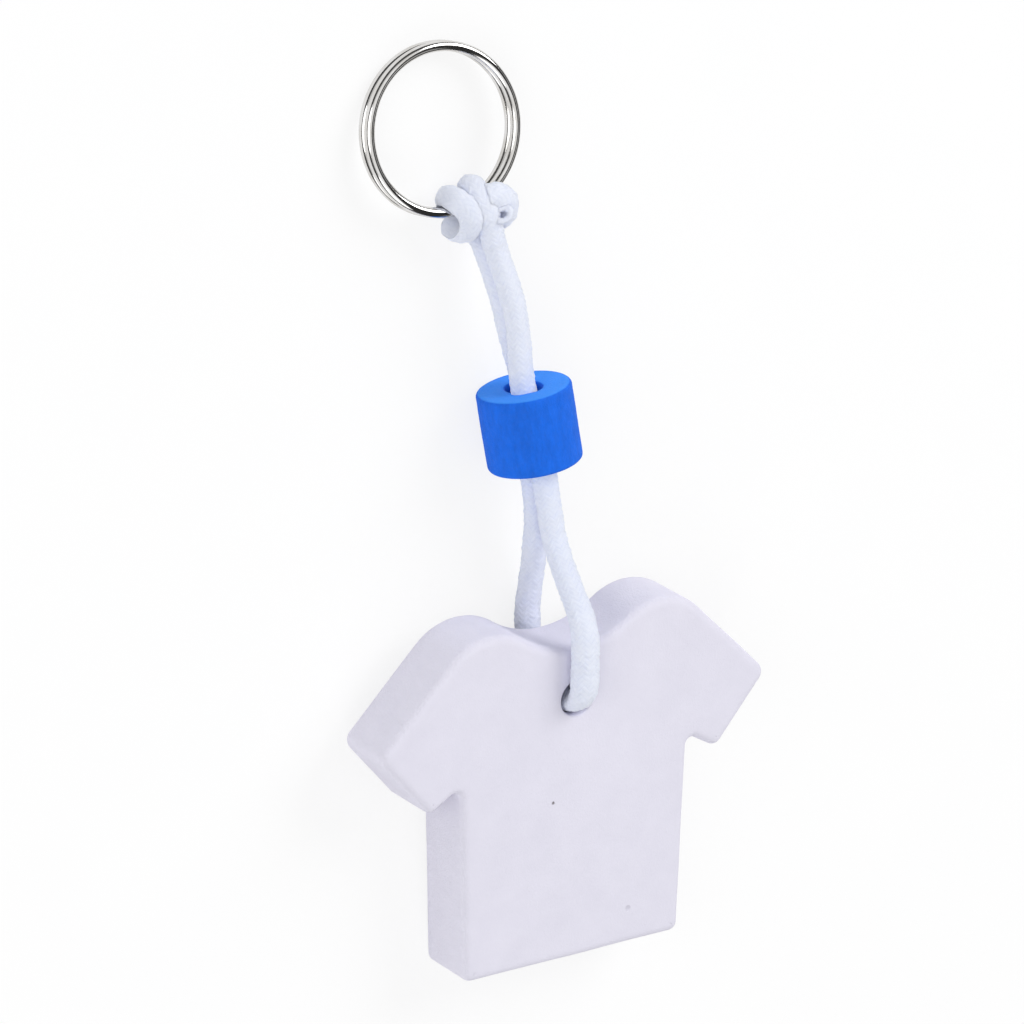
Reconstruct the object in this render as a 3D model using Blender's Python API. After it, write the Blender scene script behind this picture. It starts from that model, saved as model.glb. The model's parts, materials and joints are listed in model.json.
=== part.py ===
"""A floating keychain that lies face up on a table.

A foam float, cut in the shape of a T-shirt, hangs on one loop of soft braided cord. The loop goes through a
hole under the float's neck, both its strands pass through a foam bead, and its two ends are knotted round a
split ring.

Metres. +Z is up from the table, +Y runs from the float's hem to the ring, and +X is to the right of the float's
face. The loop's rear strand lies under the float's neck, so the float rests on its hem and is tipped up by that
strand.
"""

import math

import bmesh
import bpy
from mathutils import Matrix, Vector

# Cord
CORD_DIAMETER = 0.0028
TOUCH_GAP = 0.0003

# Float: heights are measured up the shirt from its hem, widths from its centre line
FLOAT_THICKNESS = 0.0106
HEM_HALF_WIDTH = 0.0186
CHEST_HALF_WIDTH = 0.0196
ARMPIT_HEIGHT = 0.0306
CUFF_LOW_HALF_WIDTH = 0.0248
CUFF_LOW_HEIGHT = 0.0275
CUFF_TIP_HALF_WIDTH = 0.0335
CUFF_TIP_HEIGHT = 0.0378
SLEEVE_SLOPE = math.radians(45)
SHOULDER_RADIUS = 0.0097
NECK_RADIUS = 0.0154
NECK_LOW_HEIGHT = 0.0483
HEM_CORNER_RADIUS = 0.0012
ARMPIT_RADIUS = 0.0009
CUFF_LOW_RADIUS = 0.0011
CUFF_TIP_RADIUS = 0.0016
FLOAT_EDGE_RADIUS = 0.0011
HOLE_HEIGHT = 0.0405
HOLE_CLEARANCE = 0.0013
FLOAT_HEM_Y = -0.0678

# Bead
BEAD_DIAMETER = 0.0138
BEAD_LENGTH = 0.0116
BEAD_EDGE_RADIUS = 0.0006
BEAD_X = -0.00267
BEAD_Y = 0.01168
BEAD_LEAN = math.radians(9)

# Split ring
RING_OUTER_DIAMETER = 0.025
RING_WIRE_DIAMETER = 0.0015
RING_TURN_GAP = 0.00008
RING_JOG_HALF_ANGLE = math.radians(15)
RING_JOG_BEARING = math.radians(-90)
RING_BEARING = math.radians(113)

# Knot, on the near side of the ring
KNOT_X = -0.00919
KNOT_Y = 0.04533
KNOT_LOBE_DIAMETER = 0.0032
# Each strand's sides are counted from this direction, which no strand runs along
STRAND_SIDE = Vector((1, 0.2, 0.1))

# Smoothness
CORNER_STEPS = 4
SHOULDER_STEPS = 9
NECK_STEPS = 10
HOLE_SIDES = 28
BEAD_SIDES = 40
WIRE_SIDES = 10
RING_STEPS_A_TURN = 64
STRAND_SIDES = 10
LOOP_SPAN_STEPS = 2
STRAND_SPAN_STEPS = 3
SHARP_ANGLE = math.radians(40)
ROUNDED_ANGLE = math.radians(60)

# The loop's route in millimetres, from its upper end by the knot, through the bead, over the float's neck, down
# the hole, back under the neck and through the bead again to its lower end. Its two ends are where the knot's are.
CORD_ROUTE = [
    (-6.20, 32.90, 7.95), (-5.50, 29.30, 8.40), (-5.05, 25.40, 8.42), (-4.42, 17.80, 8.28),
    (-2.28, 9.20, 8.45), (-0.60, -1.40, 8.45), (-0.25, -4.40, 8.62),
    (-0.05, -7.30, 9.55), (0.05, -9.90, 10.95), (0.05, -12.60, 12.85), (0.05, -15.30, 14.75),
    (0.00, -18.20, 15.85), (0.00, -21.00, 15.85), (0.00, -23.50, 15.60), (0.00, -25.62, 15.37),
    (0.00, -27.43, 14.74), (0.00, -28.68, 13.29), (0.00, -29.04, 11.41), (0.00, -28.75, 8.12),
    (0.00, -28.55, 4.83), (0.00, -27.92, 3.02), (0.00, -26.47, 1.77), (0.00, -24.59, 1.42),
    (-0.25, -21.20, 1.44), (-0.40, -17.90, 1.55), (-0.45, -14.60, 2.30), (-0.55, -10.60, 3.60),
    (-0.80, -6.20, 4.75), (-0.85, -2.20, 5.26), (-1.15, 1.80, 5.35), (-2.28, 9.20, 5.35),
    (-2.86, 17.80, 5.52), (-4.62, 25.40, 5.38), (-5.45, 29.30, 5.30), (-6.20, 32.90, 4.85),
]

# The knot's strands in millimetres, each in the ring's own directions: along the wire to the right, towards the
# ring's centre, and up out of the ring's face
KNOT_WRAP = [
    (-1.10, -6.60, 1.15), (-0.87, -5.12, 1.03), (-0.50, -3.30, 2.00), (-0.40, -1.10, 2.75),
    (-0.30, 1.20, 2.30), (0.20, 2.30, 0.90), (0.90, 1.70, -1.40), (0.90, 0.30, -2.60),
    (0.10, -2.60, -2.60), (-0.87, -5.12, -2.07), (-1.10, -6.60, -1.95),
]
KNOT_LEFT_LOBES = [
    (0.30, 0.00, -2.60), (-1.80, 0.40, -2.70), (-3.20, 1.70, -1.90), (-3.70, 2.60, -0.20),
    (-3.60, 1.90, 1.80), (-3.50, 0.20, 2.60), (-3.60, -1.60, 1.90), (-3.80, -2.40, 0.10),
    (-3.60, -2.00, -1.70), (-2.50, -2.10, -2.40), (-0.90, -2.70, -2.40),
]
KNOT_RIGHT_LOBE = [
    (0.40, 0.40, 2.70), (2.00, -0.30, 2.80), (3.10, -1.80, 2.30), (3.30, -3.20, 1.30),
    (2.70, -4.40, 0.00), (0.90, -4.40, -1.70),
]
KNOT_CUT_END = [(2.10, -4.00, -0.80), (1.80, -3.50, 1.00), (1.20, -2.80, 2.80)]
KNOT_CORE = [(-3.20, -2.60, -0.80), (-0.60, -3.00, -0.60), (1.20, -3.60, 0.20), (2.80, -3.60, 0.40)]

# What follows from those sizes
HOLE_DIAMETER = CORD_DIAMETER + 2 * HOLE_CLEARANCE
HOLE_FAR_SIDE = HOLE_HEIGHT + HOLE_DIAMETER / 2
FLOAT_TILT = math.asin((CORD_DIAMETER + TOUCH_GAP) / (HOLE_FAR_SIDE - FLOAT_EDGE_RADIUS))
BEAD_BORE = 2 * CORD_DIAMETER + 3 * TOUCH_GAP
RING_MEAN_RADIUS = (RING_OUTER_DIAMETER - RING_WIRE_DIAMETER) / 2
RING_PITCH = RING_WIRE_DIAMETER + RING_TURN_GAP
RING_HALF_THICKNESS = (RING_PITCH + RING_WIRE_DIAMETER) / 2
RING_HEIGHT_AT_KNOT = RING_HALF_THICKNESS + TOUCH_GAP + CORD_DIAMETER
RING_TILT = math.asin((RING_HEIGHT_AT_KNOT - RING_HALF_THICKNESS) / (2 * RING_MEAN_RADIUS))


def millimetres(points):
    """Points given in millimetres, as vectors in metres."""
    return [Vector(point) / 1000 for point in points]


def clear_scene():
    for thing in list(bpy.data.objects):
        bpy.data.objects.remove(thing, do_unlink=True)


def make_material(name, colour, roughness, metallic=0.0):
    material = bpy.data.materials.new(name)
    material.use_nodes = True
    shader = material.node_tree.nodes["Principled BSDF"]
    shader.inputs["Base Color"].default_value = (*colour, 1.0)
    shader.inputs["Roughness"].default_value = roughness
    shader.inputs["Metallic"].default_value = metallic
    return material


def link(thing, material=None):
    bpy.context.scene.collection.objects.link(thing)
    if material is not None:
        thing.data.materials.append(material)
    return thing


def mesh_object(name, bm, material):
    """A smooth-shaded object of a bmesh, with its creases sharp."""
    bmesh.ops.recalc_face_normals(bm, faces=bm.faces)
    mesh = bpy.data.meshes.new(name)
    bm.to_mesh(mesh)
    bm.free()
    mesh.shade_smooth()
    mesh.set_sharp_from_angle(angle=SHARP_ANGLE)
    return link(bpy.data.objects.new(name, mesh), material)


def empty_at(name, matrix):
    empty = bpy.data.objects.new(name, None)
    empty.empty_display_size = 0.01
    empty.matrix_basis = matrix
    return link(empty)


def attach(child, parent):
    """Parent a piece to an empty, with its own location and rotation still counted from the world."""
    child.parent = parent
    child.matrix_parent_inverse = parent.matrix_basis.inverted()


def make_cutter(thing):
    thing.hide_render = True
    thing.display_type = "WIRE"


def combine(body, tool, operation):
    """Join a tool to a body, or cut the body with it, and keep the tool out of the model."""
    make_cutter(tool)
    boolean = body.modifiers.new(tool.name, "BOOLEAN")
    boolean.operation = operation
    boolean.solver = "EXACT"
    boolean.use_self = True
    boolean.object = tool


def rounded_corner(before, corner, after, radius):
    """The points of an arc that rounds a flat outline's corner."""
    to_before = (before - corner).normalized()
    to_after = (after - corner).normalized()
    half_angle = to_before.angle(to_after) / 2
    centre = corner + (to_before + to_after).normalized() * radius / math.sin(half_angle)
    start = corner + to_before * radius / math.tan(half_angle) - centre
    end = corner + to_after * radius / math.tan(half_angle) - centre
    sweep = start.angle_signed(end)
    points = []
    for step in range(CORNER_STEPS + 1):
        arm = start.copy()
        arm.rotate(Matrix.Rotation(-sweep * step / CORNER_STEPS, 2))
        points.append(centre + arm)
    return points


def arc(centre, radius, start, end, steps):
    """Points along an arc between two bearings, both ends included."""
    bearings = [start + (end - start) * step / steps for step in range(steps + 1)]
    return [centre + radius * Vector((math.cos(b), math.sin(b))) for b in bearings]


def shoulder_centre():
    """The centre of the arc that touches both the sleeve's slope and the neck's circle."""
    tip = Vector((CUFF_TIP_HALF_WIDTH, CUFF_TIP_HEIGHT))
    neck = Vector((0, NECK_LOW_HEIGHT + NECK_RADIUS))
    up_slope = Vector((-math.cos(SLEEVE_SLOPE), math.sin(SLEEVE_SLOPE)))
    inward = Vector((-math.sin(SLEEVE_SLOPE), -math.cos(SLEEVE_SLOPE)))
    start = tip + SHOULDER_RADIUS * inward - neck
    reach = SHOULDER_RADIUS + NECK_RADIUS
    along = -start.dot(up_slope) - math.sqrt(start.dot(up_slope) ** 2 - start.length_squared + reach ** 2)
    return neck + start + up_slope * along


def float_outline():
    """The shirt's outline, anticlockwise from the middle of its hem."""
    hem = Vector((HEM_HALF_WIDTH, 0))
    armpit = Vector((CHEST_HALF_WIDTH, ARMPIT_HEIGHT))
    cuff_low = Vector((CUFF_LOW_HALF_WIDTH, CUFF_LOW_HEIGHT))
    cuff_tip = Vector((CUFF_TIP_HALF_WIDTH, CUFF_TIP_HEIGHT))
    neck = Vector((0, NECK_LOW_HEIGHT + NECK_RADIUS))
    shoulder = shoulder_centre()
    neck_bearing = math.atan2(*(neck - shoulder).yx)
    slope_bearing = math.pi / 2 - SLEEVE_SLOPE
    slope_start = shoulder + SHOULDER_RADIUS * Vector((math.cos(slope_bearing), math.sin(slope_bearing)))

    right = rounded_corner(Vector((0, 0)), hem, armpit, HEM_CORNER_RADIUS)
    right += rounded_corner(hem, armpit, cuff_low, ARMPIT_RADIUS)
    right += rounded_corner(armpit, cuff_low, cuff_tip, CUFF_LOW_RADIUS)
    right += rounded_corner(cuff_low, cuff_tip, slope_start, CUFF_TIP_RADIUS)
    right += arc(shoulder, SHOULDER_RADIUS, slope_bearing, neck_bearing, SHOULDER_STEPS)
    right += arc(neck, NECK_RADIUS, neck_bearing - math.pi, -math.pi / 2, NECK_STEPS)[1:]
    left = [Vector((-point.x, point.y)) for point in reversed(right[:-1])]
    return right + left


def float_matrix():
    """From the shirt's own directions to the table: its hem on the table, its neck lifted by the strand below."""
    hem_drop = FLOAT_EDGE_RADIUS * (math.cos(FLOAT_TILT) + math.sin(FLOAT_TILT) - 1)
    return Matrix.Translation((0, FLOAT_HEM_Y, -hem_drop)) @ Matrix.Rotation(FLOAT_TILT, 4, "X")


def make_float(material):
    outline = float_outline()
    bm = bmesh.new()
    back = [bm.verts.new((point.x, point.y, 0)) for point in outline]
    front = [bm.verts.new((point.x, point.y, FLOAT_THICKNESS)) for point in outline]
    bm.faces.new(back)
    bm.faces.new(front)
    for index in range(len(outline)):
        after = (index + 1) % len(outline)
        bm.faces.new((back[index], back[after], front[after], front[index]))
    float_body = mesh_object("foam_float", bm, material)
    float_body.matrix_basis = float_matrix()

    rounding = float_body.modifiers.new("soft_edges", "BEVEL")
    rounding.width = FLOAT_EDGE_RADIUS
    rounding.segments = 3
    rounding.limit_method = "ANGLE"
    rounding.angle_limit = ROUNDED_ANGLE

    bm = bmesh.new()
    bmesh.ops.create_cone(
        bm, cap_ends=True, segments=HOLE_SIDES, radius1=HOLE_DIAMETER / 2, radius2=HOLE_DIAMETER / 2,
        depth=2 * FLOAT_THICKNESS, matrix=Matrix.Translation((0, HOLE_HEIGHT, FLOAT_THICKNESS / 2)),
    )
    punch = mesh_object("cord_hole_punch", bm, material)
    punch.matrix_basis = float_matrix()
    combine(float_body, punch, "DIFFERENCE")
    flat_faces = float_body.modifiers.new("flat_faces", "WEIGHTED_NORMAL")
    flat_faces.keep_sharp = True
    return float_body


def turned(name, profile, sides, material):
    """A piece turned about its own Z from a closed outline of (radius, height) points."""
    bm = bmesh.new()
    rings = []
    for side in range(sides):
        bearing = 2 * math.pi * side / sides
        rings.append([bm.verts.new((r * math.cos(bearing), r * math.sin(bearing), z)) for r, z in profile])
    for side in range(sides):
        here, after = rings[side], rings[(side + 1) % sides]
        for index in range(len(profile)):
            step = (index + 1) % len(profile)
            bm.faces.new((here[index], after[index], after[step], here[step]))
    return mesh_object(name, bm, material)


def make_bead(material):
    """A cylinder of foam with a bore, lying on its side on the table."""
    outer, bore, half = BEAD_DIAMETER / 2, BEAD_BORE / 2, BEAD_LENGTH / 2
    edge = BEAD_EDGE_RADIUS
    chamfer = edge * (1 - math.sqrt(0.5))
    profile = [
        (bore, -half), (outer - edge, -half), (outer - chamfer, -half + chamfer), (outer, -half + edge),
        (outer, half - edge), (outer - chamfer, half - chamfer), (outer - edge, half), (bore, half),
    ]
    bead = turned("foam_bead", profile, BEAD_SIDES, material)
    along_cord = Matrix.Rotation(BEAD_LEAN, 4, "Z") @ Matrix.Rotation(-math.pi / 2, 4, "X")
    bead.matrix_basis = Matrix.Translation((BEAD_X, BEAD_Y, outer)) @ along_cord
    return bead


def smooth_route(points, samples):
    """Points along a smooth curve through the given ones (a centripetal Catmull-Rom spline)."""
    first = points[0] + (points[0] - points[1])
    last = points[-1] + (points[-1] - points[-2])
    padded = [first, *points, last]
    route = []
    for index in range(1, len(padded) - 2):
        p0, p1, p2, p3 = padded[index - 1:index + 3]
        t1 = math.sqrt((p1 - p0).length)
        t2 = t1 + math.sqrt((p2 - p1).length)
        t3 = t2 + math.sqrt((p3 - p2).length)
        for sample in range(samples):
            t = t1 + (t2 - t1) * sample / samples
            a1 = p0.lerp(p1, t / t1)
            a2 = p1.lerp(p2, (t - t1) / (t2 - t1))
            a3 = p2.lerp(p3, (t - t2) / (t3 - t2))
            b1 = a1.lerp(a2, t / t2)
            b2 = a2.lerp(a3, (t - t1) / (t3 - t1))
            route.append(b1.lerp(b2, (t - t1) / (t2 - t1)))
    return [*route, points[-1]]


def ring_frame():
    """Where the knot holds the ring: X along the wire, Y towards the ring's centre, Z out of its face."""
    along = Vector((math.sin(RING_BEARING), -math.cos(RING_BEARING), 0))
    level = Vector((math.cos(RING_BEARING), math.sin(RING_BEARING), 0))
    inward = level * math.cos(RING_TILT) - Vector((0, 0, math.sin(RING_TILT)))
    face = along.cross(inward)
    turn = Matrix((along, inward, face)).transposed().to_4x4()
    return Matrix.Translation((KNOT_X, KNOT_Y, RING_HEIGHT_AT_KNOT)) @ turn


def beyond_knot(end, inner):
    """The cord's first two points beyond one end of the knot's wrap, square to that end and clear of it."""
    end, inner = (ring_frame() @ point for point in millimetres([end, inner]))
    outward = (end - inner).normalized()
    return [end + outward * TOUCH_GAP, end + outward * (TOUCH_GAP + CORD_DIAMETER / 2)]


def make_cord_loop(material):
    """The loop's free stretch, from one side of the knot round to the other."""
    upper_end = beyond_knot(*KNOT_WRAP[:2])
    lower_end = beyond_knot(*KNOT_WRAP[:-3:-1])
    route = smooth_route([*upper_end, *millimetres(CORD_ROUTE), *reversed(lower_end)], LOOP_SPAN_STEPS)
    curve = bpy.data.curves.new("cord_loop", "CURVE")
    curve.dimensions = "3D"
    curve.bevel_depth = CORD_DIAMETER / 2
    curve.bevel_resolution = 2
    curve.use_fill_caps = True
    spline = curve.splines.new("POLY")
    spline.points.add(len(route) - 1)
    for place, point in zip(spline.points, route):
        place.co = (*point, 1.0)
    return link(bpy.data.objects.new("cord_loop", curve), material)


def swept(name, centres, outward, diameter, sides, material):
    """A round bar along the given centres. outward(index) is a direction square to the bar's path there."""
    bm = bmesh.new()
    rings = []
    for index, centre in enumerate(centres):
        before = centres[max(index - 1, 0)]
        after = centres[min(index + 1, len(centres) - 1)]
        tangent = (after - before).normalized()
        out = outward(index)
        out = (out - tangent * out.dot(tangent)).normalized()
        side = tangent.cross(out)
        ring = []
        for step in range(sides):
            bearing = 2 * math.pi * step / sides
            arm = out * math.cos(bearing) + side * math.sin(bearing)
            ring.append(bm.verts.new(centre + arm * diameter / 2))
        rings.append(ring)
    for here, after in zip(rings, rings[1:]):
        for step in range(sides):
            following = (step + 1) % sides
            bm.faces.new((here[step], here[following], after[following], after[step]))
    bm.faces.new(rings[0])
    bm.faces.new(rings[-1])
    return mesh_object(name, bm, material)


def make_split_ring(material):
    """Two turns of wire side by side. In the knot, between its two ends, the wire crosses from one to the other."""
    first = RING_JOG_HALF_ANGLE
    last = 4 * math.pi - RING_JOG_HALF_ANGLE
    steps = round(RING_STEPS_A_TURN * (last - first) / (2 * math.pi))
    centres = []
    for step in range(steps + 1):
        travelled = first + (last - first) * step / steps
        crossed = (travelled - 2 * math.pi + RING_JOG_HALF_ANGLE) / (2 * RING_JOG_HALF_ANGLE)
        crossed = min(max(crossed, 0), 1)
        height = RING_PITCH * (crossed * crossed * (3 - 2 * crossed) - 0.5)
        bearing = travelled + RING_JOG_BEARING
        across = Vector((math.cos(bearing), math.sin(bearing), 0)) * RING_MEAN_RADIUS
        centres.append(across + Vector((0, RING_MEAN_RADIUS, height)))
    middle = Vector((0, RING_MEAN_RADIUS, 0))
    ring = swept(
        "split_ring", centres, lambda index: centres[index] - middle,
        RING_WIRE_DIAMETER, WIRE_SIDES, material,
    )
    ring.matrix_basis = ring_frame()
    return ring


def knot_strand(name, points, diameter, material):
    route = smooth_route(millimetres(points), STRAND_SPAN_STEPS)
    strand = swept(name, route, lambda index: STRAND_SIDE, diameter, STRAND_SIDES, material)
    strand.matrix_basis = ring_frame()
    return strand


def ring_passage(material):
    """The room that the ring takes in the knot as it turns: narrow in the middle, wider outwards."""
    reach = 2.5 * CORD_DIAMETER
    stations = 6
    profile = []
    for station in range(-stations, stations + 1):
        off = reach * station / stations
        bow = RING_MEAN_RADIUS - math.sqrt(RING_MEAN_RADIUS ** 2 - off ** 2)
        radius = math.hypot(bow, RING_PITCH / 2) + RING_WIRE_DIAMETER / 2 + TOUCH_GAP
        profile.append((radius, off))
    bm = bmesh.new()
    rings = []
    for side in range(HOLE_SIDES):
        bearing = 2 * math.pi * side / HOLE_SIDES
        out, up = math.cos(bearing), math.sin(bearing)
        rings.append([bm.verts.new((off, r * out, r * up)) for r, off in profile])
    for side in range(HOLE_SIDES):
        here, after = rings[side], rings[(side + 1) % HOLE_SIDES]
        for index in range(len(profile) - 1):
            bm.faces.new((here[index], after[index], after[index + 1], here[index + 1]))
    bm.faces.new([ring[0] for ring in rings])
    bm.faces.new([ring[-1] for ring in rings])
    passage = mesh_object("ring_passage", bm, material)
    passage.matrix_basis = ring_frame()
    return passage


def make_knot(material):
    """The loop's ends, wrapped round the ring's wire and tied: one lump of cord with a passage for the ring."""
    knot = knot_strand("cord_knot", KNOT_WRAP, CORD_DIAMETER, material)
    combine(knot, knot_strand("knot_left_lobes", KNOT_LEFT_LOBES, KNOT_LOBE_DIAMETER, material), "UNION")
    combine(knot, knot_strand("knot_right_lobe", KNOT_RIGHT_LOBE, KNOT_LOBE_DIAMETER, material), "UNION")
    combine(knot, knot_strand("knot_cut_end", KNOT_CUT_END, CORD_DIAMETER, material), "UNION")
    combine(knot, knot_strand("knot_core", KNOT_CORE, KNOT_LOBE_DIAMETER, material), "UNION")
    combine(knot, ring_passage(material), "DIFFERENCE")
    return knot


def main():
    clear_scene()
    white_foam = make_material("white_foam", (0.78, 0.76, 0.86), 0.85)
    blue_foam = make_material("blue_foam", (0.02, 0.15, 0.72), 0.8)
    cord = make_material("white_cord", (0.74, 0.77, 0.93), 0.75)
    nickel = make_material("nickel_wire", (0.72, 0.72, 0.73), 0.15, 1.0)

    make_float(white_foam)
    hole_middle = Matrix.Translation((0, HOLE_HEIGHT, FLOAT_THICKNESS / 2))
    cord_swing = empty_at("cord_swing", float_matrix() @ hole_middle)
    ring_swing = empty_at("ring_swing", ring_frame())
    attach(ring_swing, cord_swing)
    attach(make_cord_loop(cord), cord_swing)
    attach(make_knot(cord), cord_swing)
    attach(make_bead(blue_foam), cord_swing)
    attach(make_split_ring(nickel), ring_swing)


main()
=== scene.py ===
"""The looks of a floating keychain: white foam float, blue foam bead, soft braided cord and split ring.

Everything is in metres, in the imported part's own frame: +Z up from the table, +Y from the float's hem to
the ring.
"""

import json
import math

import bmesh
import bpy
import numpy as np
from mathutils import Matrix, Vector, noise


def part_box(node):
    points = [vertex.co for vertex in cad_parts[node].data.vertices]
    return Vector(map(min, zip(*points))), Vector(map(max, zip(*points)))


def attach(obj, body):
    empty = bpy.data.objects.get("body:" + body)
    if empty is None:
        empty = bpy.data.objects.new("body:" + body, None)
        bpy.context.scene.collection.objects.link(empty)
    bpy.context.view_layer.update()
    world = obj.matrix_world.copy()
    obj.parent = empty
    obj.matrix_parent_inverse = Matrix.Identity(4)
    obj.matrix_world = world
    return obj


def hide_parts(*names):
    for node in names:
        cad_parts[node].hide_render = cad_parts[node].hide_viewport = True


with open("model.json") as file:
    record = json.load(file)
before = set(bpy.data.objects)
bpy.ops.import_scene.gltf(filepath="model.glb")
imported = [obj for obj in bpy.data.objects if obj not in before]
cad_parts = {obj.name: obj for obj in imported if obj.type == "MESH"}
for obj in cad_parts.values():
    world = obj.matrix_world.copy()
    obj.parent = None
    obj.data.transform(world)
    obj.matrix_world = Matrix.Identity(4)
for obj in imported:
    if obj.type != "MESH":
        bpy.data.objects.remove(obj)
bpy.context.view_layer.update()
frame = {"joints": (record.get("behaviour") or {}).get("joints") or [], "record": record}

# Camera: where it stood for the photograph, and its lens
CAMERA_PLACE = (-0.58278, 0.32601, 0.89495)
CAMERA_TURN_DEGREES = (-16.1257, -33.4679, -1.8616)
CAMERA_LENS = 273.6
CAMERA_SENSOR = 36.0
CAMERA_REACH = 10

# Float, with the sizes of the solid part
FLOAT_THICKNESS = 0.0106
HEM_HALF_WIDTH = 0.0186
CHEST_HALF_WIDTH = 0.0196
ARMPIT_HEIGHT = 0.0306
CUFF_LOW_HALF_WIDTH = 0.0248
CUFF_LOW_HEIGHT = 0.0275
CUFF_TIP_HALF_WIDTH = 0.0335
CUFF_TIP_HEIGHT = 0.0378
SLEEVE_SLOPE = math.radians(45)
SHOULDER_RADIUS = 0.0097
NECK_RADIUS = 0.0154
NECK_LOW_HEIGHT = 0.0483
HEM_CORNER_RADIUS = 0.0014
ARMPIT_RADIUS = 0.0010
CUFF_LOW_RADIUS = 0.0014
CUFF_TIP_RADIUS = 0.0018
FLOAT_EDGE_RADIUS = 0.0012
HOLE_HEIGHT = 0.0405
HOLE_RADIUS = 0.0027

# Float's surface: how its outline is divided, and how uneven the cut foam is
OUTLINE_STEP = 0.0005
CORNER_STEPS = 8
CURVE_STEPS = 20
EDGE_RINGS = 7
SIDE_RINGS = 9
FLAT_INSET_SHARE = 1.25
SIDE_WOBBLE_SIZE = 0.009
SIDE_WOBBLE = 0.00008
HOLE_SIDES = 56
HOLE_ROUGHNESS_SIZE = 0.0016
HOLE_ROUGHNESS = 0.00006
HOLE_SMOOTH_RIM = 0.0001
# The hole's lip as shares of the hole's radius at depths below the face, and its straight wall
HOLE_LIP = [(1.16, 0), (1.05, 0.00004), (1.0, 0.0003), (0.98, 0.0012)]
HOLE_WALL_SHARE = 0.965
HOLE_WALL_DEPTH = 0.0025
HOLE_WALL_RINGS = 5
# Small dents in the face with painted shade in them: place across, place up, radius, depth of the dent, and
# tint of the painted shade
SHADED_DENTS = [
    (-0.0039, 0.0251, 0.0003, 2.0, (150, 145, 140)),
    (0.0095, 0.0056, 0.0005, 1.5, (240, 240, 242)),
]

# Bead
BEAD_RADIUS = 0.0069
BEAD_LENGTH = 0.0116
BEAD_EDGE_RADIUS = 0.0006
BEAD_LEAN = math.radians(7.5)
BEAD_TILT = math.radians(1.5)
BORE_HALF_WIDTH = 0.0024
BORE_HALF_HEIGHT = 0.0031
BORE_TURN = math.radians(7)
BEAD_SIDES = 112
BEAD_EDGE_RINGS = 6
BEAD_SIDE_RINGS = 12
BORE_RINGS = 8
# The bead's end from its bore to its edge: a share of that way, and how deep the end is sunk there
BORE_LIP = 0.0005
BEAD_END = [(0.0, BORE_LIP), (0.02, 0.00018), (0.08, 0.00006)]
BEAD_END += [(share, 0.00003) for share in np.linspace(0.2, 0.85, 5)]
BEAD_LUMP_SIZE = 0.004
BEAD_LUMPS = 0.00006
BEAD_GRAIN_SIZE = 0.0011
BEAD_GRAIN = 0.00003

# Split ring
RING_WIRE_RADIUS = 0.00075
RING_MEAN_RADIUS = 0.01175
RING_PITCH = 0.00158
RING_JOG_HALF_ANGLE = math.radians(15)
RING_JOG_BEARING = math.radians(-90)
RING_STEPS = 420
RING_WIRE_SIDES = 24
# The wire's cut ends are rounded off at these angles, down to a share of its radius
WIRE_END_ANGLES = np.radians((25, 50, 70, 84))
WIRE_END_SHARE = 0.55
WIRE_END_BULGE = 0.35
WIRE_END_CLOSED = 0.02

# Cord: a flat soft tube of braid. Its sizes across change along its length as it is squeezed
CORD_THICKNESS = 0.0029
BRAID_PITCH = 0.00085
BRAID_YARNS = 14
BRAID_DEPTH = 0.00009
CORD_SIDES = 64
CORD_STEP = 0.00014
ROUTE_SUBSTEPS = 24
SLACK_SIZE = 0.004
SLACK_DEPTH = 0.00007
LOOSENESS_SIZE = 0.0009
LOOSENESS_DEPTH = 0.00011
YARN_END_SHARE = 0.35
# Cut ends of the cord, ring by ring: a share of the tube's size, and how far out of the tube
ROUNDED_END = [(0.93, 0.00012), (0.8, 0.0002), (0.6, 0.00022), (0.3, 0.00025)]
SUNKEN_END = [
    (0.93, 0.00012), (0.8, 0.0002), (0.6, 0.00022), (0.42, 0.00005), (0.34, -0.0004), (0.3, -0.0012),
]

# The loop's route in millimetres, from the knot's upper side round to its lower side
CORD_ROUTE = [
    (-6.20, 32.90, 7.95), (-5.50, 29.30, 8.40), (-5.05, 25.40, 8.42), (-4.42, 17.80, 8.28),
    (-2.28, 9.20, 8.45), (-0.60, -1.40, 8.45), (-0.25, -4.40, 8.62),
    (-0.05, -7.30, 9.55), (0.05, -9.90, 10.95), (0.05, -12.60, 12.85), (0.05, -15.30, 14.75),
    (0.00, -18.20, 15.85), (0.00, -21.00, 15.85), (0.00, -23.50, 15.60), (0.00, -25.62, 15.37),
    (0.00, -27.43, 14.74), (0.00, -28.68, 13.29), (0.00, -29.04, 11.41), (0.00, -28.75, 8.12),
    (0.00, -28.55, 4.83), (0.00, -27.92, 3.02), (0.00, -26.47, 1.77), (0.00, -24.59, 1.42),
    (-0.25, -21.20, 1.44), (-0.40, -17.90, 1.55), (-0.45, -14.60, 2.30), (-0.55, -10.60, 3.60),
    (-0.80, -6.20, 4.75), (-0.85, -2.20, 5.26), (-1.15, 1.80, 5.35), (-2.28, 9.20, 5.35),
    (-2.86, 17.80, 5.52), (-4.62, 25.40, 5.38), (-5.45, 29.30, 5.30), (-6.20, 32.90, 4.85),
]
# The loop's width and thickness in millimetres at shares of its length
CORD_SECTIONS = [
    (0.00, 3.7, 3.0), (0.06, 3.6, 2.9), (0.12, 3.8, 2.9), (0.18, 4.2, 2.8), (0.24, 4.1, 2.8),
    (0.32, 3.8, 2.9), (0.38, 4.2, 3.0), (0.44, 4.5, 3.1), (0.47, 4.3, 3.0), (0.50, 3.7, 2.8),
    (0.53, 3.6, 2.7), (0.57, 4.1, 2.7), (0.66, 4.0, 2.8), (0.74, 3.7, 2.8), (0.80, 3.5, 2.8),
    (0.88, 3.5, 2.8), (0.95, 3.5, 2.9), (1.00, 3.7, 3.0),
]

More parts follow.
